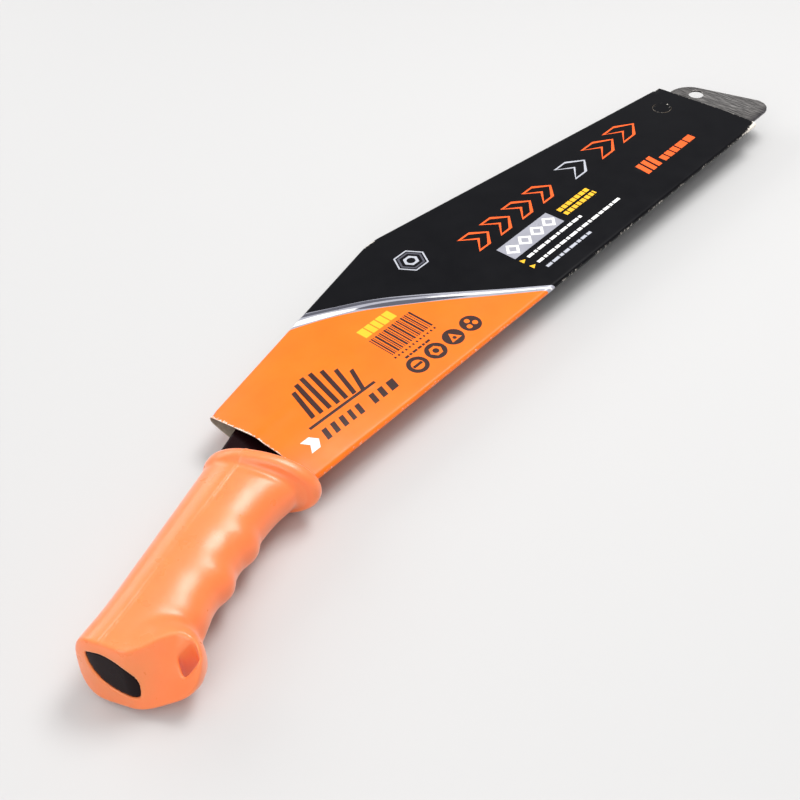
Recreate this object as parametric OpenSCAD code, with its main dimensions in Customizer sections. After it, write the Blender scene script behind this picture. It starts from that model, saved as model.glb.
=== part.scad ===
// General-purpose hand saw with a straight two-colour grip, in its folded card sleeve.
// Frame: origin at the centre of the hang hole, +X towards the blade's tip,
// +Y towards the back edge, +Z up; the blade lies flat in the plane z = 0.
// Outlines are drawn in the sleeve frame, whose origin is the back corner of the
// sleeve's mouth, and the handle in its own frame, turned by handle_tilt.

/* [Blade] */
// Distance from the sleeve's mouth to the end of the tip
blade_reach = 393.5; // [380:0.5:405]
// Thickness of the steel
blade_t = 1.2; // [0.9:0.1:1.4]
// Level of the tooth points, below the sleeve's back corner
tooth_y = -65; // [-65.2:0.1:-64]
// Depth of a tooth
tooth_h = 2.2; // [1.5:0.1:3]
// Tooth pitch, about seven teeth to the inch
tooth_pitch = 3.6; // [3:0.1:5]
// Level of the back edge at the shoulder
back_y = -3.7; // [-6:0.1:-3.5]
// Fall of the back edge from the shoulder to the tip
back_fall = 4.3; // [2:0.1:7]
// Slant of the tip's end, away from square
tip_slant = 13.2; // [5:0.1:20]
// Corner radius of the tip on the back side
tip_back_r = 14; // [8:0.5:16]
// Corner radius of the tip on the tooth side
tip_tooth_r = 9; // [6:0.5:11]
// Radius of the hang hole
hang_r = 4.5; // [3:0.1:5]

/* [Handle] */
// Angle between the handle and the blade
handle_tilt = 20; // [16:0.5:22]
// Half thickness of the grip
grip_h = 15; // [14.5:0.1:17]
// Length of the handle, from the sleeve frame's origin to the end face
handle_l = 138; // [136:0.5:142]
// How far the domed end stands out past the end face
dome = 3; // [2:0.5:5]
// Back side of the grip
grip_back_v = -15.2; // [-15.4:0.1:-13.5]
// Finger side of the grip
grip_finger_v = -54.8; // [-58:0.1:-54]
// Spacing of the finger grooves
groove_pitch = 20.5; // [19:0.1:22]
// Half the depth of a finger groove
groove_a = 1.2; // [0.6:0.1:2]
// Front of the collar on the handle's axis
collar_u = 24.5; // [24.5:0.5:26]
// Height of the collar's lip above the grip
lip_h = 3.3; // [2:0.1:4]
// Radius of the beak at the butt
beak_r = 13; // [11:0.5:14]
// Radius of the lanyard hole
lanyard_r = 3.2; // [2.5:0.1:3.5]

/* [Core] */
// Radius of the core's rounded sides
core_r = 12; // [10:0.5:12]
// Half the straight part of the core's section
core_s = 1.5; // [0.5:0.5:1.5]
// Half thickness of the nose that sheathes the blade's neck
nose_h = 1.9; // [1.5:0.1:2]
// Radius of the keying plugs through the tang
plug_r = 4; // [2.5:0.5:5]

/* [Sleeve] */
// Length of the card sleeve
sleeve_l = 368.8; // [360:0.1:372]
// Depth of the mouth
mouth_d = 66; // [66:0.1:68]
// Slant of the mouth: how far its tooth side is set back
mouth_skew = 1.8; // [1.8:0.1:3]
// Depth of the sleeve at its tip end
tip_d = 68.3; // [67:0.1:70]
// Distance of the hump from the mouth
hump_x = 143.7; // [130:0.1:155]
// Height of the hump above the back corners
hump_y = 33.8; // [28:0.1:36]
// Card thickness
card_t = 0.5; // [0.4:0.1:0.6]
// Half of the gap between the panels
gap = 2.5; // [2.4:0.1:3]
// Width of the glued flaps
flap_w = 11; // [8:0.5:12]
// Radius of the punched round tab near the tip
tab_r = 5.4; // [4:0.1:6]

/* [Hidden] */

// Hang hole in the sleeve frame
hole = [377.6, -21.9];
// Centre of the round tab in the sleeve frame
tab = [349.8, -15.6];
// Slit round the tab
slit = 0.2;
// Outer radius of a folded edge
fold_r = gap + card_t;
// How far a flap's ends stay from the corners
flap_end = 2;

// Handle frame: u runs back along the handle, v across it towards the back side
axis_v = -31;
neck_back_v = -16.5;
neck_u = 26;
nose_front_u = -4;
nose_back_v = -15.4;
nose_finger_v = -58;
core_front_u = 27;
core_back_u = handle_l - 1.5;
heel = [21.5, -57];
tang_u = core_front_u + 1;
tang_end_u = 105;
tang_root_w = 10;
tang_end_w = 7;
plug_us = [50, 85];
beak_u = 126;
beak_v = -52;
// The moulding is drawn as a shaft and a butt, which meet at this station
butt_u = 110;
lanyard = [124.5, -59.6];
collar_lean = 0.13;
collar_pivot_v = -38;
lip_len = 8;
bend_end = 50;
section_n = 2.2;

steel = [0.62, 0.61, 0.60];
black = [0.10, 0.07, 0.08];
orange = [0.98, 0.48, 0.25];
card_orange = [0.97, 0.45, 0.10];
card_black = [0.09, 0.09, 0.11];
card_grey = [0.60, 0.55, 0.50];

// Point of the handle frame in the sleeve frame
function at_handle(u, v) = [
    -cos(handle_tilt) * u - sin(handle_tilt) * v,
    -sin(handle_tilt) * u + cos(handle_tilt) * v
];

// Points of an arc about c from angle a0 to a1
function arc(c, r, a0, a1, n = 10) = [
    for (i = [0:n]) let (a = a0 + (a1 - a0) * i / n) c + r * [cos(a), sin(a)]
];

// Sleeve frame to the part's frame
module sleeve_frame() {
    translate([-hole.x, -hole.y, 0]) children();
}

// Handle frame to the part's frame, with u along X and v along Y
module handle_frame() {
    sleeve_frame() rotate([0, 0, handle_tilt]) mirror([1, 0, 0]) children();
}

// ---- blade ----

// The end edge runs through this point of the tooth line
end_foot = [blade_reach + 2, tooth_y];
end_dir = [-sin(tip_slant), cos(tip_slant)];
tip_back_y = back_y - back_fall;
end_head = end_foot + end_dir * (tip_back_y - tooth_y) / cos(tip_slant);
back_turn = tan((90 - tip_slant) / 2);
tooth_turn = tan((90 + tip_slant) / 2);
// The teeth end inside the sleeve; the part of the edge that shows at the tip is plain
tooth_last_x = sleeve_l - 6;
tooth_first_x = 9;
tooth_back_run = 0.62 * tooth_pitch;
tooth_count = floor((tooth_last_x - tooth_first_x) / tooth_pitch);
shoulder_x = (cos(handle_tilt) * back_y - neck_back_v) / sin(handle_tilt);

function blade_outline() = concat(
    [at_handle(neck_u, neck_back_v), [shoulder_x, back_y]],
    arc([end_head.x - tip_back_r * back_turn, tip_back_y - tip_back_r], tip_back_r,
        90, tip_slant),
    arc([end_foot.x - tip_tooth_r * tooth_turn, tooth_y + tip_tooth_r], tip_tooth_r,
        tip_slant, -90),
    [for (i = [0:tooth_count - 1]) let (x = tooth_last_x - i * tooth_pitch)
        each [[x, tooth_y], [x - tooth_back_run, tooth_y + tooth_h]]],
    [at_handle(heel.x, heel.y), at_handle(neck_u, heel.y + 2)],
    [at_handle(tang_u, axis_v - tang_root_w), at_handle(tang_end_u, axis_v - tang_end_w)],
    [at_handle(tang_end_u, axis_v + tang_end_w), at_handle(tang_u, axis_v + tang_root_w)]
);

module blade_plate() {
    linear_extrude(height = blade_t, center = true) polygon(blade_outline());
}

module blade() {
    color(steel) difference() {
        sleeve_frame() blade_plate();
        cylinder(r = hang_r, h = 4 * blade_t, center = true, $fn = 64);
        handle_frame() for (u = plug_us)
            translate([u, axis_v, 0])
                cylinder(r = plug_r, h = 4 * blade_t, center = true, $fn = 48);
    }
}

// ---- handle core ----

// Solid bar of the core, from u0 to u1
module core_bar(u0, u1) {
    translate([u0, axis_v, 0]) rotate([90, 0, 90]) linear_extrude(height = u1 - u0) {
        for (s = [-1, 1]) translate([s * core_s, 0]) circle(r = core_r, $fn = 64);
        square([2 * core_s, 2 * core_r], center = true);
    }
}

// Flat nose that sheathes the neck of the blade in front of the bar
module nose() {
    linear_extrude(height = 2 * nose_h, center = true) polygon([
        [nose_front_u, nose_back_v - 3], [nose_front_u + 3, nose_back_v],
        [core_front_u + 2, nose_back_v], [core_front_u + 2, nose_finger_v],
        [nose_front_u + 3, nose_finger_v], [nose_front_u, nose_finger_v + 3]
    ]);
}

module handle_core() {
    color(black) difference() {
        handle_frame() union() {
            core_bar(core_front_u, core_back_u);
            nose();
        }
        blade();
    }
}

// ---- grip ----

function bump(x) = exp(-x * x);

// Finger side: collar flare, finger grooves, then the beak
function finger_v(u) = let (
        flare = -7.5 * bump((u - 22) / 12),
        waves = -groove_a * cos(360 * (u - 63) / groove_pitch) * min(1, max(0, (u - 34) / 20)),
        shaft = grip_finger_v + flare + waves,
        reach = pow(beak_r, 2) - pow(u - beak_u, 2)
    )
    reach > 0 ? min(shaft, beak_v - sqrt(reach)) : shaft;

// Back side: nearly straight, with a small flare at the collar
function back_v(u) = grip_back_v + 1.6 * bump((u - 22) / 8) + 0.008 * max(0, u - 30);

// Half thickness, swelling towards the butt
function half_h(u) = grip_h + 1.8 * bump((u - 134) / 14);

// How far a ring is drawn in over the domed end, from 1 at the end face to 0 at the crown
function dome_scale(u) = u <= handle_l ? 1 : sqrt(max(0, 1 - pow((u - handle_l) / dome, 2)));

// Rings of the loft: [u, growth of the lip]
lip = [[0, 1.2], [0.5, 0.8 * lip_h], [2, lip_h], [4.5, lip_h], [6, 0.7 * lip_h],
       [7, 0.3 * lip_h], [lip_len, 0]];
shaft_step = 3.5;
rings = concat(
    [for (p = lip) [collar_u + p[0], p[1]]],
    [for (u = [collar_u + lip_len + 2:shaft_step:handle_l - 1]) [u, 0]],
    [for (k = [0, 0.45, 0.75, 0.93]) [handle_l + k * dome, 0]]
);
ring_n = 36;

function signed_pow(x, p) = sign(x) * pow(abs(x), p);

// One point of the ring at nominal station u; the collar's rings lean with the collar
function ring_point(u, grow, a) = let (
        s = dome_scale(u),
        c = axis_v,
        side = cos(a) > 0 ? back_v(u) + grow - c : c - finger_v(u) + grow,
        shrink = 0.55 + 0.45 * s,
        v = c + shrink * side * signed_pow(cos(a), 2 / section_n),
        w = s * (half_h(u) + grow) * signed_pow(sin(a), 2 / section_n),
        lean = collar_lean * max(0, min(1, (bend_end - u) / (bend_end - collar_u - lip_len)))
    )
    [u + lean * (v - collar_pivot_v), v, w];

module grip_loft() {
    count = len(rings);
    points = [for (r = rings) for (k = [0:ring_n - 1]) ring_point(r[0], r[1], k * 360 / ring_n)];
    skin = [for (i = [0:count - 2]) for (k = [0:ring_n - 1]) let (
            a = i * ring_n + k,
            b = i * ring_n + (k + 1) % ring_n
        )
        each [[a, a + ring_n, b], [b, a + ring_n, b + ring_n]]];
    front = [[for (k = [0:ring_n - 1]) k]];
    crown = [[for (k = [0:ring_n - 1]) count * ring_n - 1 - k]];
    polyhedron(points = points, faces = concat(skin, front, crown));
}

// The whole moulding, open for the core, its nose and the window in the butt
module moulding() {
    difference() {
        grip_loft();
        core_bar(core_front_u, handle_l + dome + 1);
        nose();
        translate([lanyard.x, lanyard.y, 0])
            cylinder(r = lanyard_r, h = 4 * grip_h, center = true, $fn = 48);
    }
}

// Everything behind the station where the butt starts
module butt_side() {
    translate([butt_u, 3 * axis_v, -2 * grip_h]) cube([handle_l, -3 * axis_v, 4 * grip_h]);
}

module grip() {
    color(orange) handle_frame() difference() {
        moulding();
        butt_side();
    }
}

module grip_butt() {
    color(orange) handle_frame() intersection() {
        moulding();
        butt_side();
    }
}

// ---- card sleeve ----

mouth_back = [0, 0];
hump = [hump_x, hump_y];
tip_back = [sleeve_l, 0];
tip_tooth = [sleeve_l, -tip_d];
mouth_tooth = [mouth_skew, -mouth_d];

function unit(p) = p / norm(p);
function left_of(p) = [-p.y, p.x];

// Point where two lines meet, each moved inwards by d; p is on both, a and b are their directions
function inset_corner(p, a, b, d) = let (
        na = -left_of(unit(a)),
        nb = -left_of(unit(b))
    )
    p + d * (na + nb) / (1 + na * nb);

rise = unit(hump - mouth_back);
run = unit(tip_back - hump);
base = unit(tip_tooth - mouth_tooth);
mouth = unit(mouth_tooth - mouth_back);

// Ends of the folds' centre lines, a fold radius inside the outline
rise_start = mouth_back + mouth * fold_r / abs(cross(mouth, rise));
hump_in = inset_corner(hump, rise, run, fold_r);
run_end = [sleeve_l, -fold_r / run.x];
base_start = mouth_tooth - mouth * fold_r / abs(cross(mouth, base));
base_end = [sleeve_l, -tip_d + fold_r / base.x];

module flat_outline() {
    polygon([rise_start, hump_in, run_end, base_end, base_start]);
}

module sleeve_front_panel() {
    color(card_orange) difference() {
        sleeve_frame() translate([0, 0, gap])
            linear_extrude(height = card_t) flat_outline();
        sleeve_frame() translate([tab.x, tab.y, gap - 1])
            cylinder(r = tab_r + slit, h = 3, $fn = 48);
    }
}

module sleeve_round_tab() {
    color(card_black) sleeve_frame() translate([tab.x, tab.y, gap])
        cylinder(r = tab_r, h = card_t, $fn = 48);
}

module sleeve_back_panel() {
    color(card_grey) sleeve_frame() translate([0, 0, -gap - card_t])
        linear_extrude(height = card_t) flat_outline();
}

// Section of a folded edge: half a ring, round on the outside of the fold
module half_ring() {
    difference() {
        circle(r = fold_r, $fn = 32);
        circle(r = gap, $fn = 32);
        translate([-2 * fold_r, -2 * fold_r]) square([2 * fold_r, 4 * fold_r]);
    }
}

// Folded edge along the line from p to q, running past both ends; the fold is on its left
module folded_edge(p, q) {
    d = q - p;
    over = 4 * fold_r;
    translate([p.x, p.y, 0]) rotate([0, 0, atan2(d.y, d.x)]) translate([-over, 0, 0])
        rotate([90, 0, 90]) linear_extrude(height = norm(d) + 2 * over) half_ring();
}

// Everything behind (side -1) or ahead (side 1) of the mitre plane at the hump
module mitre_side(side) {
    t = unit(rise + run);
    translate([hump_in.x, hump_in.y, 0]) rotate([0, 0, atan2(t.y, t.x)])
        translate([side * sleeve_l / 2, 0, 0])
            cube([sleeve_l, 2 * mouth_d, 4 * fold_r], center = true);
}

// Everything between the cut edges of the mouth and the tip end
module between_ends() {
    linear_extrude(height = 4 * fold_r, center = true) polygon([
        mouth_back - mouth_d * mouth, mouth_tooth + mouth_d * mouth,
        [sleeve_l, -2 * mouth_d], [sleeve_l, mouth_d]
    ]);
}

module sleeve_back_fold() {
    color(card_orange) sleeve_frame() intersection() {
        union() {
            intersection() {
                folded_edge(rise_start, hump_in);
                mitre_side(-1);
            }
            intersection() {
                folded_edge(hump_in, run_end);
                mitre_side(1);
            }
        }
        between_ends();
    }
}

module sleeve_tooth_fold() {
    color(card_orange) sleeve_frame() intersection() {
        folded_edge(base_end, base_start);
        between_ends();
    }
}

// Flap glued under the front panel along the fold's centre line from p to q
module flap(p, q, bevel) {
    d = unit(q - p);
    in = -flap_w * left_of(d);
    a = p + flap_end * d;
    b = q - flap_end * d;
    sleeve_frame() translate([0, 0, gap - card_t]) linear_extrude(height = card_t)
        polygon([a, b, b - bevel * d + in, a + bevel * d + in]);
}

module sleeve_long_flap() {
    color(card_grey) flap(hump_in, run_end, 8);
}

module sleeve_mouth_flap() {
    color(card_grey) flap(rise_start, hump_in, 14);
}

blade();
handle_core();
grip();
grip_butt();
sleeve_front_panel();
sleeve_back_panel();
sleeve_tooth_fold();
sleeve_back_fold();
sleeve_long_flap();
sleeve_mouth_flap();
sleeve_round_tab();
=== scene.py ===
import math

import bmesh
import bpy
import numpy as np
from mathutils import Matrix, Vector
from mathutils.geometry import delaunay_2d_cdt


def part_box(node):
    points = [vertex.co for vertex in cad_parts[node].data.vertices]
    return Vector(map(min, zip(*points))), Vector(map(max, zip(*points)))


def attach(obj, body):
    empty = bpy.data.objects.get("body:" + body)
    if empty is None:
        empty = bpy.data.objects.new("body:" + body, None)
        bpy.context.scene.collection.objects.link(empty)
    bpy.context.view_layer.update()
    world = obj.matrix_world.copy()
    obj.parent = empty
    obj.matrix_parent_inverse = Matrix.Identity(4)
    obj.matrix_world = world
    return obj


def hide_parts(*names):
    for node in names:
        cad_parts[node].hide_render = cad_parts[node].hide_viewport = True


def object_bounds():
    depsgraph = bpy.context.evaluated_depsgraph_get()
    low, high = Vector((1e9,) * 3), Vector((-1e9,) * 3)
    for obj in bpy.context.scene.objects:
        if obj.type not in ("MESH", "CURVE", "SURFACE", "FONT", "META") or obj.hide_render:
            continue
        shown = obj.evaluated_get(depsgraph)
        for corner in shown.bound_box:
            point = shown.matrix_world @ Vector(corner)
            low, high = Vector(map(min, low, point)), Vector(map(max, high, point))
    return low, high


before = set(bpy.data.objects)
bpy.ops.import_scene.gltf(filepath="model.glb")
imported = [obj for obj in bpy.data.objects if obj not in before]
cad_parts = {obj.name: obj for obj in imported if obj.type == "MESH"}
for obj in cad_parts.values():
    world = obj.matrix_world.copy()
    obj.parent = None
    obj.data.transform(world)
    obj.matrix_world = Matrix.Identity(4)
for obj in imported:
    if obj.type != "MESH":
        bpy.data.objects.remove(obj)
cad_low, cad_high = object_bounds()

MM = 0.001

# ---------------------------------------------------------------- frames
# The sleeve frame has its origin at the back corner of the sleeve's mouth, x to the tip, y to the
# back edge and z up. The handle frame has the same origin, u back along the handle, v across it
# to the back and w up. Both are in mm.
SLEEVE_L = 368.8
TIP_D, MOUTH_D = 68.3, 66.0
MOUTH_SKEW = 1.8
TILT = math.radians(20)
fold_low, fold_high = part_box("sleeve_tooth_fold")
ORIGIN = np.array([fold_high.x / MM - SLEEVE_L, fold_low.y / MM + TIP_D, 0.0])


def part_from_sleeve(points):
    """Points of the sleeve frame in mm, as points of the part's frame in metres."""
    return (np.asarray(points, float) + ORIGIN) * MM


def part_from_handle(points):
    """Points of the handle frame in mm, as points of the part's frame in metres."""
    u, v, w = np.asarray(points, float).T
    x = -math.cos(TILT) * u - math.sin(TILT) * v
    y = -math.sin(TILT) * u + math.cos(TILT) * v
    return part_from_sleeve(np.stack([x, y, w], 1))


# ---------------------------------------------------------------- mesh helpers
def make_object(name, points, faces, material_ids=None, materials=(), smooth=True):
    mesh = bpy.data.meshes.new(name)
    mesh.from_pydata([tuple(p) for p in points], [], [tuple(int(i) for i in f) for f in faces])
    obj = bpy.data.objects.new(name, mesh)
    bpy.context.scene.collection.objects.link(obj)
    for material in materials:
        mesh.materials.append(material)
    if material_ids is not None:
        mesh.polygons.foreach_set("material_index", np.asarray(material_ids, np.int32))
    mesh.polygons.foreach_set("use_smooth", [smooth] * len(mesh.polygons))
    mesh.update()
    return obj


def smooth_step(low, high, x):
    t = np.clip((x - low) / (high - low), 0, 1)
    return t * t * (3 - 2 * t)


def bell(x):
    return np.exp(-x * x)


def smooth_min(a, b, k):
    h = np.maximum(k - np.abs(a - b), 0) / k
    return np.minimum(a, b) - h * h * k / 4


def smooth_max(a, b, k):
    return -smooth_min(-a, -b, k)


def round_box(a, b, r):
    """Rounded meeting of two distances that are both negative inside."""
    qa, qb = a + r, b + r
    outside = np.hypot(np.maximum(qa, 0), np.maximum(qb, 0))
    return outside + np.minimum(np.maximum(qa, qb), 0) - r


def surface_nets(field, low, step):
    """Points and quads on the zero level of a sampled field; the field is negative inside."""
    shape = np.array(field.shape)
    cells = tuple(shape - 1)
    total = np.zeros(cells + (3,))
    count = np.zeros(cells)
    quads = []
    inside = field < 0
    crossings = []
    for axis in range(3):
        others = [a for a in range(3) if a != axis]
        f0 = np.moveaxis(field, axis, 0)[:-1]
        f1 = np.moveaxis(field, axis, 0)[1:]
        s0 = np.moveaxis(inside, axis, 0)[:-1]
        s1 = np.moveaxis(inside, axis, 0)[1:]
        at = np.argwhere(s0 != s1)
        t = f0[tuple(at.T)] / (f0[tuple(at.T)] - f1[tuple(at.T)])
        enters = s0[tuple(at.T)]
        index = np.zeros((len(at), 3), int)
        index[:, axis] = at[:, 0]
        index[:, others[0]] = at[:, 1]
        index[:, others[1]] = at[:, 2]
        place = index.astype(float)
        place[:, axis] += t
        crossings.append((axis, others, index, enters))
        for da in (0, 1):
            for db in (0, 1):
                cell = index.copy()
                cell[:, others[0]] -= da
                cell[:, others[1]] -= db
                ok = np.all(cell >= 0, 1) & np.all(cell < shape - 1, 1)
                np.add.at(total, tuple(cell[ok].T), place[ok])
                np.add.at(count, tuple(cell[ok].T), 1)
    used = count > 0
    number = np.full(count.shape, -1)
    number[used] = np.arange(used.sum())
    points = low + step * total[used] / count[used][:, None]
    for axis, others, index, enters in crossings:
        ring = []
        for da, db in ((0, 0), (1, 0), (1, 1), (0, 1)):
            cell = index.copy()
            cell[:, others[0]] -= da
            cell[:, others[1]] -= db
            ring.append(number[tuple(cell.T)])
        ring = np.stack(ring, 1)
        flip = enters if axis == 1 else ~enters
        ring[flip] = ring[flip][:, ::-1]
        quads.append(ring)
    return points, np.concatenate(quads)


def mesh_of(distance, low, high, step):
    """Surface of a distance function between two corners, drawn onto its zero level."""
    low, high = np.array(low, float), np.array(high, float)
    counts = np.ceil((high - low) / step).astype(int) + 1
    grid = np.stack(np.meshgrid(*[low[i] + step * np.arange(counts[i]) for i in range(3)],
                                indexing="ij"), -1)
    field = distance(grid.reshape(-1, 3)).reshape(counts)
    points, quads = surface_nets(field, low, step)
    probe = 0.05
    for _ in range(4):
        value = distance(points)
        slope = np.zeros_like(points)
        for axis in range(3):
            shift = np.zeros(3)
            shift[axis] = probe
            slope[:, axis] = (distance(points + shift) - distance(points - shift)) / (2 * probe)
        size = np.maximum((slope ** 2).sum(1), 0.2)
        move = -(value / size)[:, None] * slope
        reach = np.linalg.norm(move, axis=1, keepdims=True)
        points = points + move * np.minimum(1, 0.5 * step / np.maximum(reach, 1e-9))
    return points, quads


# ---------------------------------------------------------------- material helpers
def linear(r, g, b):
    """Linear colour of an sRGB colour given from 0 to 255."""
    return tuple((c / 255 / 12.92 if c / 255 <= 0.04045 else ((c / 255 + 0.055) / 1.055) ** 2.4)
                 for c in (r, g, b)) + (1.0,)


class Shader:
    """A principled material with named nodes added one by one."""

    def __init__(self, name, colour, roughness, **sockets):
        self.material = bpy.data.materials.new(name)
        self.material.use_nodes = True
        self.tree = self.material.node_tree
        self.surface = self.tree.nodes["Principled BSDF"]
        self.surface.inputs["Base Color"].default_value = colour
        self.surface.inputs["Roughness"].default_value = roughness
        for key, value in sockets.items():
            self.surface.inputs[key.replace("_", " ")].default_value = value
        self.coords = self.add("ShaderNodeTexCoord")

    def add(self, kind, **values):
        node = self.tree.nodes.new(kind)
        for key, value in values.items():
            if hasattr(node, key):
                setattr(node, key, value)
            else:
                node.inputs[key.replace("_", " ")].default_value = value
        return node

    def link(self, source, target):
        self.tree.links.new(source, target)

    def stretched(self, scale, turn=(0, 0, 0)):
        node = self.add("ShaderNodeMapping")
        node.inputs["Scale"].default_value = scale
        node.inputs["Rotation"].default_value = turn
        self.link(self.coords.outputs["Object"], node.inputs["Vector"])
        return node.outputs["Vector"]

    def noise(self, scale, detail=3.0, vector=None, rough=0.55):
        node = self.add("ShaderNodeTexNoise", Scale=scale, Detail=detail, Roughness=rough)
        self.link(vector or self.coords.outputs["Object"], node.inputs["Vector"])
        return node.outputs["Fac"]

    def ramp(self, value, *stops):
        node = self.add("ShaderNodeValToRGB")
        elements = node.color_ramp.elements
        while len(elements) < len(stops):
            elements.new(0.5)
        for element, (place, colour) in zip(elements, stops):
            element.position = place
            element.color = colour
        self.link(value, node.inputs["Fac"])
        return node.outputs["Color"]

    def mix(self, factor, a, b, blend="MIX"):
        node = self.add("ShaderNodeMix", data_type="RGBA", blend_type=blend)
        for socket, value in zip((node.inputs[0], node.inputs[6], node.inputs[7]), (factor, a, b)):
            if isinstance(value, bpy.types.NodeSocket):
                self.link(value, socket)
            else:
                socket.default_value = value
        return node.outputs[2]

    def spread(self, value, low, high, to_low, to_high):
        node = self.add("ShaderNodeMapRange")
        self.link(value, node.inputs["Value"])
        limits = {"From Min": low, "From Max": high, "To Min": to_low, "To Max": to_high}
        for key, number in limits.items():
            node.inputs[key].default_value = number
        return node.outputs["Result"]

    def bump(self, height, strength, distance, below=None):
        node = self.add("ShaderNodeBump", Strength=strength, Distance=distance)
        self.link(height, node.inputs["Height"])
        if below is not None:
            self.link(below, node.inputs["Normal"])
        return node.outputs["Normal"]

    def attribute(self, name):
        return self.add("ShaderNodeAttribute", attribute_name=name).outputs["Fac"]

    def set(self, key, output):
        self.link(output, self.surface.inputs[key])


# ---------------------------------------------------------------- grip
COLLAR_U, COLLAR_LEAN, COLLAR_PIVOT_V = 24.5, 0.13, -38.0
LIP_LEN, LIP_H = 7.0, 3.0
BACK_V, FINGER_V, SHAFT_HALF = -15.7, -53.9, 15.0
SECTION_N = 2.2
FLARE = 6.8
SWELL, SWELL_U, SWELL_PITCH = 2.4, 63.0, 21.0
SEAM = 0.3
CORE_V, CORE_R, CORE_S = -31.0, 12.0, 1.5
CORE_FRONT_U = 27.0
FACE_U = 138.3
SKIN_T = 1.4
WINDOW_V, WINDOW_W, WINDOW_TURN = -31.6, 0.0, math.radians(39.3)
WINDOW_LONG, WINDOW_ABOVE, WINDOW_BELOW = 14.1, 9.1, 6.4
WINDOW_FLOOR_U = 130.0
WINDOW_RECESS = 0.5
WINDOW_GAP = 0.08
NOSE = dict(u0=-4.0, u1=29.0, v0=-58.0, v1=-15.4, h=1.9)
NOSE_PRESS = 0.4
BEAK_U, BEAK_V, BEAK_W = 125.2, -52.1, 2.3
BEAK_A, BEAK_B, BEAK_H, BEAK_N = 13.2, 12.9, 13.0, 2.8
LANYARD_U, LANYARD_V = 124.0, -59.3
LANYARD_LONG, LANYARD_SHORT = 3.9, 3.1
BUTT_U = 137.0
GRIP_CELL = 0.62


def crest_v(u):
    """Where the shaft is thickest, on its line of symmetry."""
    return -35.0 + 7.0 * (u - 24.0) / 116.0


def grip_section(u, v, w):
    """Rough distance to the skin of the shaft: an egg-shaped section with finger grooves."""
    centre = crest_v(u)
    back = BACK_V + 0.013 * (u - 30)
    flare = FLARE * np.exp(-(np.maximum(u, 29.0) - 32.0) / 11.5)
    swell = (0.5 + 0.5 * np.cos(2 * np.pi * (u - SWELL_U) / SWELL_PITCH)) ** 1.5
    swell = swell * smooth_step(50, 58, u) * (1 - 0.45 * smooth_step(92, 103, u))
    swell = swell * (1 - smooth_step(106, 114, u))
    finger = FINGER_V - flare - SWELL * swell
    half = SHAFT_HALF + 1.6 * bell((u - BUTT_U) / 14.0)
    side = np.where(v > centre, back - centre, centre - finger)
    x, y = np.abs(v - centre) / side, np.abs(w) / half
    n = SECTION_N + 0.45 * bell((u - BUTT_U) / 16.0)
    f = np.maximum((x ** n + y ** n) ** (1 / n), 1e-3)
    skin = np.hypot(v - centre, w) * (1 - 1 / f)
    seam = SEAM * bell((v - centre) / 0.55) * (1 - 0.7 * bell((u - 82.0) / 24.0))
    return skin - seam


def face_slope(v):
    """Lean of the butt's end face per mm of height: slight over the core, strong on the beak."""
    return 0.12 + 0.54 * smooth_step(-36, -58, v)


def face_u(v, w):
    """Where the end face lies: nearly square to the handle over the core, slanted on the beak."""
    top = FACE_U - 9.3 * smooth_step(-37, -57, v)
    return top - face_slope(v) * w - np.maximum(w, 0) ** 2 / 300.0 - np.maximum(v + 26, 0) ** 2 / 60.0


def core_distance(u, v, w):
    """The core's bar, as distances to its side and to its ends, the last under the end face."""
    stadium = np.hypot(np.maximum(np.abs(v - CORE_V) - CORE_S, 0), w) - CORE_R
    return stadium, np.maximum(CORE_FRONT_U - u, u - face_u(v, w) + SKIN_T)


def window_distance(v, w):
    """Lens-shaped opening in the end face through which the core shows."""
    along = (v - WINDOW_V) * math.cos(WINDOW_TURN) + (w - WINDOW_W) * math.sin(WINDOW_TURN)
    across = (w - WINDOW_W) * math.cos(WINDOW_TURN) - (v - WINDOW_V) * math.sin(WINDOW_TURN)
    arcs = []
    for rise, level in ((WINDOW_ABOVE, across), (WINDOW_BELOW, -across)):
        radius = (WINDOW_LONG ** 2 + rise ** 2) / (2 * rise)
        arcs.append(np.hypot(along, level + radius - rise) - radius)
    return smooth_max(arcs[0], arcs[1], 1.2)


def lanyard_distance(u, v):
    """Angular opening through the beak, set aslant."""
    long = (u - LANYARD_U + v - LANYARD_V) / math.sqrt(2)
    short = (u - LANYARD_U - v + LANYARD_V) / math.sqrt(2)
    return ((long * LANYARD_SHORT / LANYARD_LONG) ** 4 + short ** 4) ** 0.25 - LANYARD_SHORT


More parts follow.
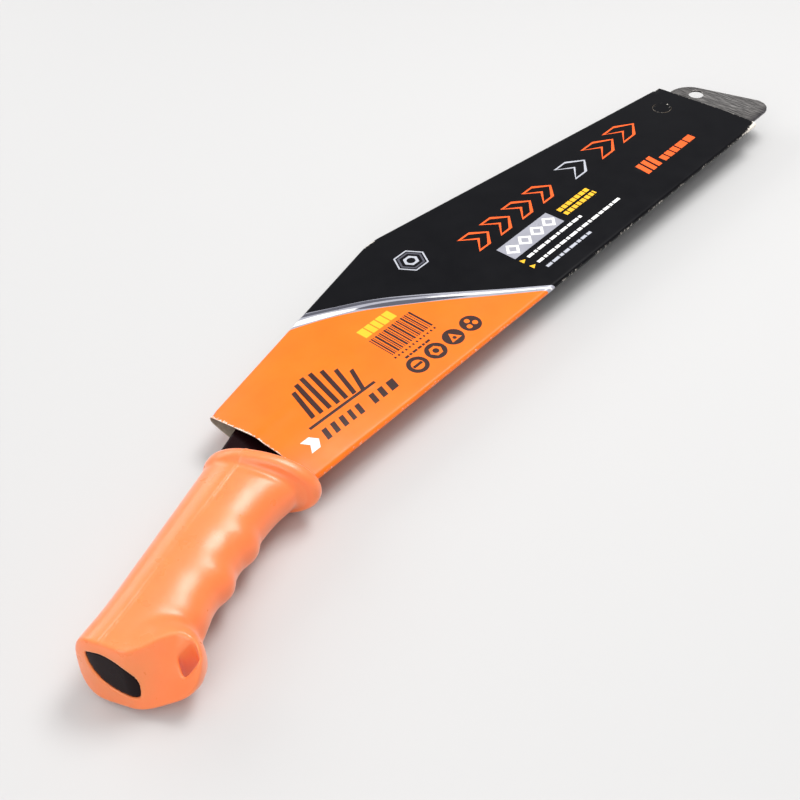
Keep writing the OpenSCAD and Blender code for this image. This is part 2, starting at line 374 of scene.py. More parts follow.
def grip_distance(p):
    """Rough distance to the rubber: shaft, collar lip and beak, less the face, core and openings."""
    u, v, w = p[:, 0], p[:, 1], p[:, 2]
    skin = grip_section(u, v, w)
    station = u - COLLAR_LEAN * (v - COLLAR_PIVOT_V)
    finger_side = smooth_step(-30, -48, v)
    lip_height = LIP_H - 0.1 * np.maximum(v + 35.0, 0) - 0.07 * np.minimum(v + 35.0, 0)
    groove = 0.8 * bell((station - 34.0) / 2.2) * finger_side
    body = smooth_max(skin + groove, COLLAR_U + 0.4 - station, 1.0)
    lip = round_box(skin - lip_height, np.abs(station - COLLAR_U - LIP_LEN / 2) - LIP_LEN / 2, 3.0)
    body = smooth_min(body, lip, 2.6)
    reach = np.hypot((u - BEAK_U) / BEAK_A, (v - BEAK_V) / BEAK_B)
    lift = np.abs(w - BEAK_W) / BEAK_H
    f = np.maximum((reach ** BEAK_N + lift ** BEAK_N) ** (1 / BEAK_N), 1e-3)
    beak = np.sqrt((u - BEAK_U) ** 2 + (v - BEAK_V) ** 2 + (w - BEAK_W) ** 2) * (1 - 1 / f)
    body = smooth_min(body, beak, 6.0 + 5.0 * smooth_step(2, -6, w))
    slope = face_slope(v)
    body = smooth_max(body, (u - face_u(v, w)) / np.sqrt(1.15 + slope * slope), 1.3)
    bar, ends = core_distance(u, v, w)
    body = np.maximum(body, -np.maximum(bar, ends))
    body = smooth_max(body, -np.maximum(window_distance(v, w), WINDOW_FLOOR_U - u), 0.7)
    nose = np.maximum(np.maximum(np.abs(w) - NOSE["h"], u - NOSE["u1"]),
                      np.maximum(v - NOSE["v1"], NOSE["v0"] - v)) + NOSE_PRESS
    body = np.maximum(body, -nose)
    return smooth_max(body, -lanyard_distance(u, v), 1.2)


rubber = Shader("grip_rubber", linear(252, 132, 70), 0.36, Specular_IOR_Level=0.6,
                Subsurface_Weight=0.25, Subsurface_Scale=0.006, Sheen_Weight=0.25, Sheen_Roughness=0.4)
rubber.surface.inputs["Subsurface Radius"].default_value = (1.0, 0.35, 0.15)
rubber.set("Base Color", rubber.ramp(rubber.noise(28, 4), (0.3, linear(251, 126, 64)),
                                     (0.7, linear(253, 137, 76))))
rubber.set("Roughness", rubber.spread(rubber.noise(90, 3), 0.3, 0.7, 0.26, 0.36))
rubber.set("Normal", rubber.bump(rubber.noise(1400, 2), 0.12, 0.0002,
                                 rubber.bump(rubber.noise(120, 3), 0.10, 0.0008)))

grip_points, grip_quads = mesh_of(grip_distance, (20, -75, -22), (148, -8, 22), GRIP_CELL)
grip = make_object("grip_moulding", part_from_handle(grip_points), grip_quads[:, ::-1],
                   materials=[rubber.material])
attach(grip, "saw")
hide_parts("grip", "grip_butt")


# ---------------------------------------------------------------- core
def core_shape(p):
    """Rough distance to the core: its bar, the boss in the window and the nose round the neck."""
    u, v, w = p[:, 0], p[:, 1], p[:, 2]
    stadium, ends = core_distance(u, v, w)
    bar = round_box(stadium, ends, 0.5)
    boss = np.maximum(window_distance(v, w) + WINDOW_GAP, u - face_u(v, w) + WINDOW_RECESS)
    boss = np.maximum(boss, WINDOW_FLOOR_U - 0.5 - u)
    centre, half = (NOSE["v0"] + NOSE["v1"]) / 2, (NOSE["v1"] - NOSE["v0"]) / 2
    chamfer = (NOSE["u0"] - u + np.abs(v - centre) - half + 3) * 0.707
    plan = np.maximum(np.maximum(np.maximum(NOSE["u0"] - u, u - NOSE["u1"]),
                                 np.maximum(v - NOSE["v1"], NOSE["v0"] - v)), chamfer)
    nose = round_box(plan, np.abs(w) - NOSE["h"], 0.6)
    return np.minimum(np.minimum(bar, boss), nose)


# Black plastic; its maroon tint is painted orange light bounced from the rubber
gloss = Shader("core_plastic", linear(24, 8, 11), 0.22, Specular_IOR_Level=0.1)
gloss.set("Roughness", gloss.spread(gloss.noise(60, 3), 0.3, 0.7, 0.16, 0.30))
gloss.set("Base Color", gloss.ramp(gloss.noise(25, 3), (0.3, linear(18, 6, 8)),
                                   (0.75, linear(30, 11, 14))))
gloss.set("Normal", gloss.bump(gloss.noise(220, 2), 0.08, 0.0004))
core_points, core_quads = mesh_of(core_shape, (-6, -60, -14), (139.5, -13, 14), 0.7)
core = make_object("core_bar", part_from_handle(core_points), core_quads[:, ::-1],
                   materials=[gloss.material])
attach(core, "saw")
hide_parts("handle_core")

# ---------------------------------------------------------------- blade
TOOTH_LINE = fold_low.y + 3.3 * MM
HARDENED_DEPTH = 4.5 * MM
steel = Shader("blade_steel", linear(176, 172, 170), 0.32, Metallic=1.0)
scratches = steel.noise(1.0, 3, steel.stretched((2300, 110, 110), (0, 0, math.radians(-9))))
strokes = steel.noise(1.0, 4, steel.stretched((1300, 110, 110), (0, 0, math.radians(6))), rough=0.6)
stain = steel.noise(34, 3)
ground = steel.ramp(strokes, (0.32, linear(104, 102, 101)), (0.50, linear(144, 141, 139)),
                    (0.68, linear(196, 192, 189)))
shade = steel.ramp(stain, (0.3, (0.72, 0.71, 0.70, 1)), (0.7, (1.0, 1.0, 1.0, 1)))
worked = steel.mix(1.0, ground, shade, "MULTIPLY")
place = steel.add("ShaderNodeSeparateXYZ")
steel.link(steel.coords.outputs["Object"], place.inputs[0])
hardened = steel.spread(place.outputs["Y"], TOOTH_LINE, TOOTH_LINE + HARDENED_DEPTH, 0.75, 0.0)
steel.set("Base Color", steel.mix(hardened, worked, linear(58, 54, 62)))
steel.set("Roughness", steel.spread(strokes, 0.35, 0.65, 0.24, 0.44))
steel.set("Normal", steel.bump(scratches, 0.30, 0.0001, steel.bump(strokes, 0.35, 0.0002)))
BLADE_HALF = 0.6
TOOTH_SET = 0.16
TOOTH_GRIND = 0.75
EDGE_ROUND = 0.13


def blade_loops():
    """The plate's outline and holes in mm, anticlockwise round the metal, from the CAD node."""
    work = bmesh.new()
    work.from_mesh(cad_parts["blade"].data)
    bmesh.ops.remove_doubles(work, verts=work.verts, dist=0.002 * MM)
    work.verts.index_update()
    following, place = {}, {}
    for face in work.faces:
        if face.normal.z < 0.9:
            continue
        for corner in face.loops:
            if all(other is face or other.normal.z < 0.9 for other in corner.edge.link_faces):
                after = corner.link_loop_next.vert
                following[corner.vert.index] = after.index
                place[corner.vert.index] = (corner.vert.co.x / MM, corner.vert.co.y / MM)
                place[after.index] = (after.co.x / MM, after.co.y / MM)
    work.free()
    loops = []
    while following:
        first, at = next(iter(following.items()))
        del following[first]
        loop = [place[first]]
        while at != first:
            loop.append(place[at])
            at = following.pop(at)
        loops.append(loop)
    return sorted(loops, key=lambda path: -max(p[0] for p in path) + min(p[0] for p in path))


def blade_mesh():
    """Points and faces of the plate with set and ground teeth."""
    outline, *holes = blade_loops()
    level = TOOTH_LINE / MM
    count = len(outline)
    low = [abs(p[1] - level) < 0.05 for p in outline]
    tips = [k for k in range(count) if low[k] and not low[k - 1] and not low[(k + 1) % count]]
    teeth = [(outline[k - 1], outline[k], outline[(k + 1) % count]) for k in tips]
    rim = [p for k, p in enumerate(outline) if k not in set(tips)]
    flat, loops = [], []
    for path in [rim] + holes:
        loops.append(list(range(len(flat), len(flat) + len(path))))
        flat.extend(Vector(p) for p in path)
    made = delaunay_2d_cdt(flat, [], [loops[0]] + [path[::-1] for path in loops[1:]], 1, 1e-5)
    inside = [face for face, tags in zip(made[2], made[5]) if tags == [0]]
    size = len(flat)
    points = [(p.x, p.y, BLADE_HALF) for p in flat] + [(p.x, p.y, -BLADE_HALF) for p in flat]
    number = {(round(p.x, 3), round(p.y, 3)): k for k, p in enumerate(flat)}
    match = [number[(round(p.x, 3), round(p.y, 3))] for p in made[0]]
    faces = [[match[i] for i in face] for face in inside]
    faces += [[match[i] + size for i in face][::-1] for face in inside]
    gaps = set()
    for k, (before, tip, after) in enumerate(teeth):
        a, b = (number[(round(p[0], 3), round(p[1], 3))] for p in (before, after))
        gaps.add((a, b))
        lean = 1 if k % 2 else -1
        above = BLADE_HALF + lean * TOOTH_SET if lean > 0 else BLADE_HALF - TOOTH_GRIND
        below = -BLADE_HALF + lean * TOOTH_SET if lean < 0 else -BLADE_HALF + TOOTH_GRIND
        upper, lower = len(points), len(points) + 1
        points += [(tip[0], tip[1], above), (tip[0], tip[1], below)]
        faces += [[a, upper, b], [b + size, lower, a + size],
                  [a + size, lower, upper, a], [lower, b + size, b, upper]]
    for path in loops:
        for a, b in zip(path, path[1:] + path[:1]):
            if (a, b) not in gaps:
                faces.append([a + size, b + size, b, a])
    return np.array(points) * MM, faces


blade_points, blade_faces = blade_mesh()
blade = make_object("blade_plate", blade_points, blade_faces, materials=[steel.material])
work = bmesh.new()
work.from_mesh(blade.data)
bmesh.ops.dissolve_limit(work, angle_limit=math.radians(0.5), verts=work.verts, edges=work.edges)
work.to_mesh(blade.data)
work.free()
rounding = blade.modifiers.new("rounding", "BEVEL")
rounding.width = EDGE_ROUND * MM
rounding.segments = 2
rounding.limit_method = "ANGLE"
rounding.angle_limit = math.radians(50)
blade.data.set_sharp_from_angle(angle=math.radians(35))
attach(blade, "saw")
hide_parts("blade")

# ---------------------------------------------------------------- sleeve shape
HUMP_X, HUMP_Y = 143.7, 33.8
CARD_T = 0.5
TOOTH_R, BACK_R = 1.7, 1.5


def top_y(x):
    """Back edge of the sleeve, with its rounded hump."""
    rise = HUMP_Y * x / HUMP_X
    run = HUMP_Y * (SLEEVE_L - x) / (SLEEVE_L - HUMP_X)
    return smooth_min(rise, run, 2.9)


def bottom_y(x):
    """Tooth side of the sleeve."""
    return -MOUTH_D - (TIP_D - MOUTH_D) * (x - MOUTH_SKEW) / (SLEEVE_L - MOUTH_SKEW)


def fold_profile(d, r):
    """Height of a folded edge of radius r at a depth d from its outermost line."""
    return np.sqrt(np.maximum(r * r - np.maximum(r - d, 0) ** 2, 0))


# How the front panel stands up at the open mouth, across the sleeve from the tooth side
ARCH_AT = [0.0, 0.17, 0.32, 0.44, 0.515, 0.59, 0.72, 0.91, 1.0]
ARCH_Z = [0.0, 0.5, 0.78, 0.82, 1.0, 0.86, 0.56, 0.18, 0.0]


def sleeve_z(x, y, side):
    """Outer face of the folded card: the front panel (side 1) or the back panel (side -1)."""
    low, high = bottom_y(x), top_y(x)
    s = np.clip((y - low) / np.maximum(high - low, 1e-6), 0, 1)
    share = smooth_step(0.2, 0.8, s)
    plateau = TOOTH_R * (1 - share) + BACK_R * share
    tooth_side = fold_profile(y - low, TOOTH_R) / TOOTH_R
    back_side = fold_profile(high - y, BACK_R) / BACK_R
    z = plateau * np.minimum(tooth_side, back_side)
    belly = np.sin(np.pi * s) ** 0.8
    near = np.exp(-(np.maximum(x, 0) / 62.0) ** 2)
    if side > 0:
        shape = np.interp(s, ARCH_AT, ARCH_Z) * near ** 0.5 + belly * (1 - near ** 0.5)
        z = z + 5.0 * near * shape + (1.1 - 0.5 * x / SLEEVE_L) * belly
        wave = 0.22 * np.sin(x / 31.0 + 0.6) * np.sin(y / 17.0) + 0.12 * np.sin(x / 13.0 - y / 11.0)
    else:
        shape = np.sin(np.pi * s ** 1.6) ** 0.9
        z = z + 3.6 * near * shape + (1.0 - 0.6 * x / SLEEVE_L) * belly
        wave = 0.18 * np.sin(x / 27.0 + 1.9) * np.sin(y / 21.0)
    return side * (z + wave * belly)


# ---------------------------------------------------------------- print
def rect(x0, x1, y0, y1, slant=0.0):
    """Upright parallelogram, its top moved by slant."""
    return [(x0, y0), (x1, y0), (x1 + slant, y1), (x0 + slant, y1)]


def disc(x, y, r, n=28):
    """Circle, or a regular polygon of n corners."""
    turns = [2 * math.pi * k / n for k in range(n)]
    return [(x + r * math.cos(a), y + r * math.sin(a)) for a in turns]


def curve(points, n=40):
    """Smooth curve through a few points, after Catmull and Rom."""
    p = [np.array(q, float) for q in points]
    p = [2 * p[0] - p[1]] + p + [2 * p[-1] - p[-2]]
    out = []
    spans = len(p) - 3
    for i in range(spans):
        for k in range(n // spans):
            t = k / (n // spans)
            a, b, c, d = p[i:i + 4]
            out.append(tuple(0.5 * (2 * b + (c - a) * t + (2 * a - 5 * b + 4 * c - d) * t * t
                                    + (3 * b - a - 3 * c + d) * t ** 3)))
    out.append(tuple(p[-2]))
    return out


# Each ink's colour, roughness and other looks
INK_LOOKS = {
    "orange": ((251, 116, 12), 0.40, {}),
    "black": ((8, 8, 12), 0.34, {"gloss_level": 0.10}),
    "silver": ((176, 176, 186), 0.30, {"metallic": 0.35}),
    "white": ((240, 238, 236), 0.42, {}),
    "yellow": ((250, 190, 40), 0.42, {}),
    "brown": ((52, 26, 22), 0.42, {}),
    "flame": ((250, 98, 30), 0.40, {}),
    "pale": ((186, 188, 196), 0.38, {}),
    "smoke": ((92, 92, 102), 0.30, {"metallic": 0.35}),
}
INKS = list(INK_LOOKS)
zones = []


def paint(ink, polygon):
    """Adds a shape to the front's print, drawn anticlockwise, over what is there."""
    x, y = np.array(polygon, float).T
    turning = np.sum(x * np.roll(y, -1) - y * np.roll(x, -1))
    zones.append((ink, polygon if turning > 0 else polygon[::-1]))


SWOOSH_UPPER = [(68, 27), (90, 11), (115, -7.5), (148, -40.5), (183, -74)]
SWOOSH_LOWER = [(56, 20), (86, 4.4), (112, -14.8), (144, -43.6), (178, -74)]
upper, lower = curve(SWOOSH_UPPER), curve(SWOOSH_LOWER)
FAR = SLEEVE_L + 12
paint("black", upper + [(FAR, -74), (FAR, 50), (68, 50)])
paint("silver", upper + lower[::-1])


def strand(ink, t0, t1, first, last):
    """Streak in the band, from share t0 to t1 of its width, that runs out to a point at each end."""
    sides = ([], [])
    for k in range(first, last):
        full = max(0.0, math.sin(math.pi * (k - first) / (last - 1 - first))) ** 0.6
        for side, edge in zip(sides, (t0, t1)):
            t = (t0 + t1) / 2 + (edge - (t0 + t1) / 2) * full
            side.append(tuple((1 - t) * a + t * b for a, b in zip(upper[k], lower[k])))
    paint(ink, sides[0] + sides[1][-2:0:-1])


strand("smoke", 0.03, 0.34, 0, 27)
strand("white", 0.46, 0.90, 1, 16)
strand("smoke", 0.50, 0.95, 14, 30)
strand("white", 0.28, 0.62, 24, 41)


def chevron(x0, x1, y0, y1, thick):
    """Angular arrowhead that points along x; thick is its arm's length along x."""
    mid = (y0 + y1) / 2
    return [(x0, y0), (x0 + thick, y0), (x1, mid), (x0 + thick, y1), (x0, y1), (x1 - thick, mid)]


def outlined(ink, x0, x1, y0, y1, line):
    """Two nested arrowheads in outline."""
    width = x1 - x0
    arm = 0.56 * width
    paint(ink, chevron(x0, x1, y0, y1, arm))
    paint("black", chevron(x0 + 1.7 * line, x1 - 1.45 * line, y0 + line, y1 - line, arm - 3.1 * line))


def bars(ink, x0, x1, y, height, widths, space):
    """Line of small bars in place of a line of writing."""
    x, k = x0, 0
    while x < x1 - 0.8:
        width = min(widths[k % len(widths)], x1 - x)
        paint(ink, rect(x, x + width, y, y + height))
        x += width + space
        k += 1


def print_dark_zone():
    """Arrowheads, plate, lines of bars, size block and badge on the black."""
    top, foot = -4.2, -19.8
    for x in (173.0, 191.0, 209.5, 228.0):
        outlined("flame", x, x + 17.0, foot, top, 1.15)
    outlined("pale", 257.5, 277.0, foot, top, 1.0)
    for x in (283.0, 304.0):
        outlined("flame", x, x + 21.5, foot, top, 1.15)
    paint("silver", rect(179.5, 222.0, -38.4, -25.8))
    for k in range(4):
        x = 185.5 + 10.3 * k
        paint("white", disc(x, -32.1, 4.9, 4))
        paint("silver", disc(x, -32.1, 2.7, 4))
    bars("yellow", 227.5, 254.5, -31.8, 3.0, (3.2, 3.0, 3.4), 0.7)
    bars("yellow", 227.5, 254.5, -36.4, 3.0, (2.6, 3.3, 2.9), 0.8)
    for y, x1 in ((-42.6, 233.0), (-49.2, 258.0)):
        paint("yellow", [(179.6, y - 1.7), (182.8, y), (179.6, y + 1.7)])
        bars("white", 185.0, x1, y - 0.9, 1.9, (4.6, 2.2, 5.6, 3.4), 0.9)
    bars("pale", 185.0, 223.0, -55.9, 1.8, (4.2, 5.4, 2.6), 0.9)
    for x in (286.5, 291.5, 296.5):
        paint("flame", rect(x, x + 3.5, -49.0, -39.0, 1.2))
    bars("flame", 303.5, 334.0, -49.0, 5.0, (4.0, 4.4, 4.2, 7.0, 7.0), 1.1)
    for ink, r in (("pale", 9.6), ("black", 8.6), ("smoke", 7.6), ("black", 6.4)):
        paint(ink, disc(145.5, 4.2, r, 6))
    paint("pale", disc(145.5, 4.2, 4.4, 6))
    paint("black", disc(145.5, 4.2, 2.4))


def print_orange_zone():
    """Yellow bars, code block, four pictograms, a fan of bars and a line of blocks on the orange."""
    bars("yellow", 84.5, 107.5, -21.2, 7.0, (4.4, 3.6, 3.2, 3.8), 0.7)
    x, k = 83.5, 0
    while x < 113.5:
        width = (0.55, 0.95, 0.45, 1.3)[k % 4]
        paint("brown", rect(x, x + width, -39.5, -23.5))
        x += width + (0.7, 0.5, 0.9)[k % 3]
        k += 1
    bars("brown", 82.5, 113.5, -42.3, 1.3, (1.1,), 1.5)
    bars("brown", 86.0, 103.5, -46.2, 1.4, (2.4, 1.6, 3.0), 0.7)
    for k in range(4):
        x = 86.5 + 13.05 * k
        y = -53.0
        paint("brown", disc(x, y, 5.7))
        if k == 0:
            paint("orange", disc(x, y, 3.4))
            paint("brown", rect(x - 3.0, x + 3.0, y - 0.8, y + 0.8))
        elif k == 1:
            paint("orange", disc(x, y, 3.6, 6))
            paint("brown", disc(x, y, 1.7, 20))
        elif k == 2:
            paint("orange", [(x - 3.4, y - 2.6), (x + 3.4, y - 2.6), (x, y + 3.4)])
            paint("brown", disc(x, y - 0.8, 1.1, 14))
        else:
            for t in range(3):
                a = math.radians(90 + 120 * t)
                paint("orange", disc(x + 2.4 * math.cos(a), y + 2.4 * math.sin(a), 1.5, 16))
    for k in range(7):
        x = 26.0 + 4.9 * k
        height = 9.0 + 7.5 * math.sin(0.45 * k + 0.5)
        paint("brown", rect(x, x + 2.6, -42.0 - 0.5 * k, -42.0 - 0.5 * k + height * 1.55, 6.0))
    paint("brown", rect(21.0, 64.0, -46.6, -45.0))
    paint("white", chevron(11.8, 20.0, -56.4, -48.8, 5.4))
    widths = (4.4, 4.4, 4.4, 4.0, 4.4, 4.6, 4.8, 6.2)
    for x, width in zip((22.5, 28.0, 33.5, 39.0, 44.0, 53.5, 59.2, 65.2), widths):
        paint("brown", rect(x, x + width - 1.5, -56.0, -50.0, 1.6))


print_dark_zone()
print_orange_zone()


# ---------------------------------------------------------------- sleeve mesh
GRID = 3.2
COLUMNS = 150
TAB_X, TAB_Y, TAB_R, SLIT = 349.8, -15.6, 5.4, 0.3
TAB_RISE, TAB_TILT = 0.12, 0.22
FOLD_STEPS = 5


def mouth_x(y):
    """The mouth's edge, a little askew."""
    return MOUTH_SKEW * np.clip(-y / MOUTH_D, 0, 1)


def fold_offsets(r):
    """Depths of even steps round a folded edge of radius r."""
    return [r * (1 - math.cos(0.5 * math.pi * k / FOLD_STEPS)) for k in range(FOLD_STEPS + 1)]


def panel(side, shapes):
    """Flat triangles of one panel: points in the sleeve frame's plane, triangles and their inks."""
    xs = np.linspace(0, SLEEVE_L, COLUMNS)
    points, edges, faces = [], [], []

    def line(path, close=False):
        first = len(points)
        points.extend(Vector((float(a), float(b))) for a, b in path)
        count = len(path)
        edges.extend((first + k, first + k + 1) for k in range(count - 1))
        if close:
            faces.append([first + k for k in range(count)])

    low_xs = MOUTH_SKEW + (SLEEVE_L - MOUTH_SKEW) * np.linspace(0, 1, COLUMNS)
    bottom = [(x, bottom_y(x)) for x in low_xs]
    top = [(x, float(top_y(np.array(x)))) for x in xs[::-1]]
    rows = [bottom_y(SLEEVE_L) + d for d in fold_offsets(TOOTH_R)[1:]]
    rows += list(np.linspace(bottom_y(SLEEVE_L) + TOOTH_R, -BACK_R, 24))[1:-1]
    rows += [-d for d in fold_offsets(BACK_R)[::-1][:-1]]
    tip = [(SLEEVE_L, y) for y in rows]
    mouth = [(float(mouth_x(y)), y) for y in
             [-d for d in fold_offsets(BACK_R)[1:]]
             + list(np.linspace(-BACK_R, -MOUTH_D + TOOTH_R, 26))[1:-1]
             + [-MOUTH_D + d for d in fold_offsets(TOOTH_R)[::-1][:-1]]]
    line(bottom + tip + top + mouth, close=True)
    for ink, polygon in shapes:
        line(polygon, close=True)
    tab_start = len(faces)
    if side > 0:
        line(disc(TAB_X, TAB_Y, TAB_R + SLIT, 48), close=True)
        line(disc(TAB_X, TAB_Y, TAB_R, 48), close=True)
    for d in fold_offsets(TOOTH_R)[1:]:
        line([(x, bottom_y(x) + d) for x in low_xs[1:-1]])
    for d in fold_offsets(BACK_R)[1:]:
        line([(x, float(top_y(np.array(x))) - d) for x in xs[2:-2]])
    for x in np.arange(2.6, SLEEVE_L - 1, GRID):
        y0, y1 = bottom_y(x) + TOOTH_R + 0.9, float(top_y(np.array(x))) - BACK_R - 0.9
        n = max(3, int((y1 - y0) / GRID))
        points.extend(Vector((float(x), float(y))) for y in np.linspace(y0, y1, n))
    out = delaunay_2d_cdt(points, edges, faces, 1, 1e-4)
    flat = np.array([tuple(v) for v in out[0]])
    triangles, inks, tabs = [], [], []
    for face, tags in zip(out[2], out[5]):
        if 0 not in tags:
            continue
        if tab_start in tags and tab_start + 1 not in tags:
            continue
        painted = [t for t in tags if 0 < t < tab_start]
        triangles.append(face)
        inks.append(shapes[max(painted) - 1][0] if painted else "orange")
        tabs.append(tab_start + 1 in tags)
    return flat, triangles, inks, tabs


def lifted(flat, side):
    z = sleeve_z(flat[:, 0], flat[:, 1], side)
    return np.column_stack([flat, z])


front_flat, front_tris, front_inks, front_tabs = panel(1, zones)
back_flat, back_tris, back_inks, _ = panel(-1, zones[:2])

card_points = np.concatenate([lifted(front_flat, 1), lifted(back_flat, -1)])
card_faces, card_inks, tab_faces, tab_inks = [], [], [], []
for tri, ink, on_tab in zip(front_tris, front_inks, front_tabs):
    (tab_faces if on_tab else card_faces).append(list(tri))
    (tab_inks if on_tab else card_inks).append(INKS.index(ink))
start = len(front_flat)
for tri, ink in zip(back_tris, back_inks):
    card_faces.append([start + i for i in tri][::-1])
    card_inks.append(INKS.index(ink))


# ---------------------------------------------------------------- card materials
# Warm white for worn ink, also used as painted highlight along the folds and the hump
WORN_AND_LIT = (0.86, 0.80, 0.72, 1.0)


def card(name, colour, roughness, metallic=0.0, gloss_level=0.35):
    """Coated print on card: fine fibre, a little mottle, and white wear with painted highlight along
    the creases.
    """
    ink = Shader(name, colour, roughness, Specular_IOR_Level=gloss_level, Metallic=metallic)
    mottle = ink.noise(55, 4)
    dark = tuple(c * 0.93 for c in colour[:3]) + (1.0,)
    light = tuple(min(1.0, c * 1.05 + 0.001) for c in colour[:3]) + (1.0,)
    base = ink.ramp(mottle, (0.3, dark), (0.7, light))
    fray = ink.noise(650, 6, rough=0.75)
    wear_and_sheen = ink.add("ShaderNodeMath", operation="MULTIPLY_ADD")
    ink.link(ink.attribute("wear_and_sheen"), wear_and_sheen.inputs[0])
    wear_and_sheen.inputs[1].default_value = 1.15
    ink.link(ink.spread(fray, 0.32, 0.68, -1.05, -0.12), wear_and_sheen.inputs[2])
    # Share of warm white: real wear, plus painted highlight where light catches the folds
    whitening_share = ink.spread(wear_and_sheen.outputs[0], 0.0, 0.30, 0.0, 1.0)
    ink.set("Base Color", ink.mix(whitening_share, base, WORN_AND_LIT))
    ink.set("Roughness", ink.spread(ink.noise(130, 3), 0.3, 0.7, roughness - 0.05, roughness + 0.07))
    fibre = ink.noise(1.0, 3, ink.stretched((900, 2300, 900)))
    ink.set("Normal", ink.bump(fibre, 0.10, 0.0001, ink.bump(ink.noise(9, 1), 0.05, 0.004)))
    return ink


board = Shader("bare_card", linear(172, 158, 142), 0.85, Specular_IOR_Level=0.2)
board.set("Base Color", board.ramp(board.noise(300, 5, rough=0.75), (0.3, linear(150, 136, 120)),
                                   (0.7, linear(190, 176, 160))))
board.set("Normal", board.bump(board.noise(700, 4), 0.4, 0.0003))
card_materials = [card("print_" + name, linear(*rgb), roughness, **more).material
                  for name, (rgb, roughness, more) in INK_LOOKS.items()] + [board.material]


def wear_and_sheen_of(points):
    """Wear and painted highlight from 0 to 1: along folds and cut ends, heavier at the hump and at the
    tip's corner.
    """
    x, y = points[:, 0], points[:, 1]
    edge = np.minimum(y - bottom_y(x), top_y(x) - y)
    ends = np.minimum(x - mouth_x(y), SLEEVE_L - x)
    ragged = 0.75 + 0.25 * np.sin(x / 2.3) * np.sin(x / 5.1 + 1.0)
    at_tip = smooth_step(SLEEVE_L / 2, SLEEVE_L, x)
    # White wear along folds and cut ends, which also paints the folds' highlights
    wear_and_sheen = 0.50 * bell(edge / 0.55) * ragged + (0.75 - 0.35 * at_tip) * bell(ends / 0.6)
    # Wear and painted fold highlight at the hump
    wear_and_sheen += 1.25 * bell((x - HUMP_X) / 5.0) * bell((top_y(x) - y) / 1.6)
    # Painted highlight: a light ring round the tab's slit on the front panel
    wear_and_sheen += 0.42 * bell((np.hypot(x - TAB_X, y - TAB_Y) - TAB_R) / 0.3) * (points[:, 2] > 0)
    wear_and_sheen += 0.9 * bell((SLEEVE_L - x) / 11.0) * bell((y - bottom_y(x)) / 2.0)
    return np.clip(wear_and_sheen, 0, 1)


def sheet(name, points, faces, ids, thickness, materials, nodes):
    """Closed sheet of card: its outer face is given, its inner face and cut edges are plain board."""
    # Wear and painted fold highlight, kept on the points for the inks to whiten
    wear_and_sheen = wear_and_sheen_of(points)
    obj = make_object(name, part_from_sleeve(points), faces, ids, materials)
    layer = obj.data.attributes.new("wear_and_sheen", "FLOAT", "POINT")
    layer.data.foreach_set("value", wear_and_sheen.astype(np.float32))
    work = bmesh.new()
    work.from_mesh(obj.data)
    bmesh.ops.remove_doubles(work, verts=work.verts, dist=0.02 * MM)
    bmesh.ops.dissolve_degenerate(work, edges=work.edges, dist=0.01 * MM)
    loose = [v for v in work.verts if not v.link_faces]
    bmesh.ops.delete(work, geom=loose, context="VERTS")
    work.to_mesh(obj.data)
    work.free()
    solid = obj.modifiers.new("thickness", "SOLIDIFY")
    solid.thickness = thickness * MM
    solid.offset = -1
    solid.use_quality_normals = True
    solid.material_offset = len(materials)
    solid.material_offset_rim = len(materials)
    bpy.context.view_layer.update()
    evaluated = obj.evaluated_get(bpy.context.evaluated_depsgraph_get())
    finished = bpy.data.meshes.new_from_object(evaluated)
    obj.modifiers.clear()
    obj.data = finished
    obj.data.set_sharp_from_angle(angle=math.radians(50))
    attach(obj, "sleeve")
    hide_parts(*nodes)


sheet("sleeve_card", card_points, card_faces, card_inks, CARD_T, card_materials,
      ["sleeve_front_panel", "sleeve_back_panel", "sleeve_tooth_fold", "sleeve_back_fold"])

tab_points = card_points.copy()
tab_points[:, 2] += TAB_RISE + TAB_TILT * (tab_points[:, 0] - TAB_X) / TAB_R
tab_used = sorted({i for f in tab_faces for i in f})
tab_number = {old: new for new, old in enumerate(tab_used)}
sheet("sleeve_tab", tab_points[tab_used], [[tab_number[i] for i in f] for f in tab_faces], tab_inks,
      CARD_T, card_materials, ["sleeve_round_tab"])


FLAP_T, GLUE_GAP = 0.4, 0.03


def flap(name, start, end, bevel, width, node):
    """Glued flap that lies under the front panel along a folded back edge."""
    start, end = np.array(start, float), np.array(end, float)
    along = (end - start) / np.linalg.norm(end - start)
    across = np.array([along[1], -along[0]])
    rows, columns = 8, 90
    points, faces = [], []
    for j in range(rows + 1):
        inset = bevel * j / rows
        a, b = start + along * (2 + inset), end - along * (2 + inset)
        for i in range(columns + 1):
            x, y = a + (b - a) * i / columns + across * (BACK_R + 0.3 + (width - BACK_R) * j / rows)
            points.append((x, y))
    for j in range(rows):
        for i in range(columns):
            k = j * (columns + 1) + i
            faces.append([k, k + columns + 1, k + columns + 2, k + 1])
    flat = np.array(points)
    z = sleeve_z(flat[:, 0], flat[:, 1], 1) - CARD_T - GLUE_GAP
    sheet(name, np.column_stack([flat, z]), faces, [0] * len(faces), FLAP_T, [board.material],
          [node])


hump = (HUMP_X, HUMP_Y - 0.8)
flap("sleeve_flap_long", hump, (SLEEVE_L, 0), 8, 11, "sleeve_long_flap")
flap("sleeve_flap_mouth", (0, 0), hump, 14, 11, "sleeve_mouth_flap")

# ---------------------------------------------------------------- stage, light and camera
FLOOR_GAP = 0.0003
floor_z = min((grip.matrix_world @ Vector(c)).z for c in grip.bound_box) - FLOOR_GAP
SPAN = 6.0
corners = [(-SPAN, -SPAN), (SPAN, -SPAN), (SPAN, SPAN), (-SPAN, SPAN)]
floor = make_object("floor", [(x, y, floor_z) for x, y in corners], [(0, 1, 2, 3)])
paper = Shader("floor_paper", linear(200, 199, 198), 0.75, Specular_IOR_Level=0.25)
floor.data.materials.append(paper.material)

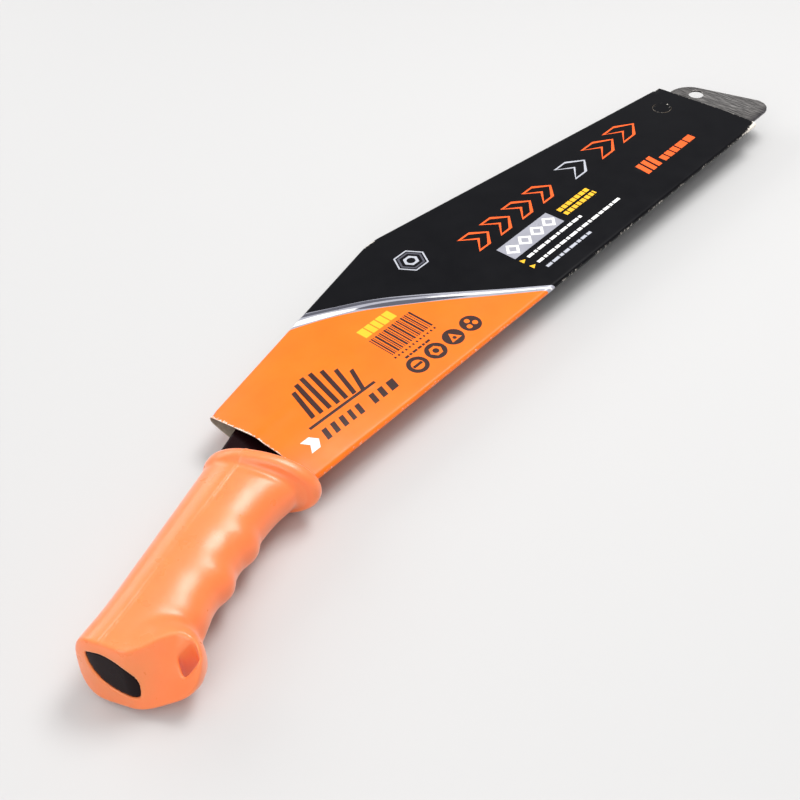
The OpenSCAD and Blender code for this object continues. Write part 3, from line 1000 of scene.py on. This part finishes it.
middle = (Vector(cad_low) + Vector(cad_high)) / 2


def add_lamp(name, data, place):
    """Lamp at a place given from the object's middle, in metres, that shines at the middle."""
    lamp = bpy.data.objects.new(name, data)
    bpy.context.scene.collection.objects.link(lamp)
    lamp.location = middle + Vector(place)
    lamp.rotation_euler = (-Vector(place)).to_track_quat("-Z", "Y").to_euler()


def softbox(name, place, width, height, power):
    data = bpy.data.lights.new(name, "AREA")
    data.shape = "RECTANGLE"
    data.size, data.size_y = width, height
    data.energy = power
    add_lamp(name, data, place)


softbox("key", (0.44, -0.12, 0.98), 0.52, 0.40, 8.0)
softbox("rim", (-0.15, 0.95, 0.55), 0.9, 0.5, 3.6)
softbox("fill", (-0.9, -0.35, 0.6), 0.8, 0.8, 4.8)

overhead = bpy.data.lights.new("overhead", "SUN")
overhead.energy = 0.9
overhead.angle = math.radians(70)
add_lamp("overhead", overhead, (0.25, -0.1, 1.0))

world = bpy.data.worlds.new("studio")
world.use_nodes = True
background = world.node_tree.nodes["Background"]
background.inputs["Color"].default_value = (0.80, 0.81, 0.83, 1.0)
background.inputs["Strength"].default_value = 0.50
bpy.context.scene.world = world

# The camera's angles, its place in the sleeve frame and its focal length over the picture's width
PITCH, ROLL, HEADING = math.radians(43.70), math.radians(4.71), math.radians(44.58)
EYE = (-229.86, -359.90, 401.3)
FOCAL_SHARE, SENSOR = 1.555, 36.0
right = np.array([math.cos(HEADING), -math.sin(HEADING), 0.0])
ahead = np.array([math.sin(HEADING), math.cos(HEADING), 0.0])
up = np.array([0.0, 0.0, 1.0])
forward = math.cos(PITCH) * ahead - math.sin(PITCH) * up
down = -math.sin(PITCH) * ahead - math.cos(PITCH) * up
image_right = math.cos(ROLL) * right + math.sin(ROLL) * down
image_down = -math.sin(ROLL) * right + math.cos(ROLL) * down
camera_data = bpy.data.cameras.new("camera")
camera_data.sensor_width = SENSOR
camera_data.lens = SENSOR * FOCAL_SHARE
camera_data.clip_start, camera_data.clip_end = 0.01, 30.0
camera = bpy.data.objects.new("camera", camera_data)
bpy.context.scene.collection.objects.link(camera)
turn = Matrix([[image_right[i], -image_down[i], -forward[i]] for i in range(3)]).to_4x4()
camera.matrix_world = Matrix.Translation(Vector(part_from_sleeve([EYE])[0])) @ turn
bpy.context.scene.camera = camera

bpy.context.scene.view_settings.view_transform = "Standard"
